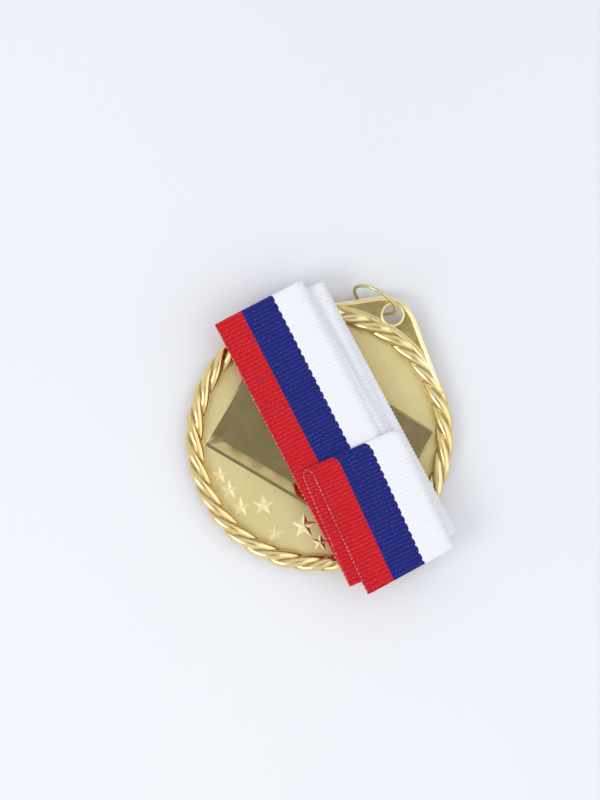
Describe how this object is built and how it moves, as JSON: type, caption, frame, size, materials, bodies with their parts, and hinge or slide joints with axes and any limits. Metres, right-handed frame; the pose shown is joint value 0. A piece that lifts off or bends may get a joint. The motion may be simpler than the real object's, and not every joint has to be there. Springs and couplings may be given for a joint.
{
  "type": "neck medal",
  "caption": "Round gold award medal with a twisted-rope rim, hanging tab and wire ring, its striped neck ribbon folded on the face.",
  "frame": {"origin": "centre of the disc on its flat back face", "axes": "+Z out of the medal's face, +Y from the disc's centre to the hanging tab, +X to the right of the face"},
  "size_m": [0.0836, 0.0767, 0.012],
  "materials": {
    "gold_casting": "gold-plated casting: sandblasted field, polished panel, rope and tab",
    "gold_wire": "bright gold-plated wire",
    "ribbon_fabric": "red, blue and white striped polyester grosgrain with cross ribs",
    "seam_thread": "white polyester sewing thread"
  },
  "bodies": {
    "medal": {"medallion": "gold_casting"},
    "ring": {"jump_ring": "gold_wire"},
    "ribbon": {"neck_ribbon": "ribbon_fabric", "seam_stitches": "seam_thread"}
  },
  "joints": [
    {"name": "ring_swing", "type": "hinge", "parent": "medal", "child": "ring", "pos_m": [-0.006, 0.0371, 0.0031], "axis": [1, 0, 0], "range_deg": [-10, 60]},
    {"name": "ribbon_lift", "type": "slide", "parent": "medal", "child": "ribbon", "axis": [0, 0, 1], "range_m": [0, 0.015]}
  ]
}
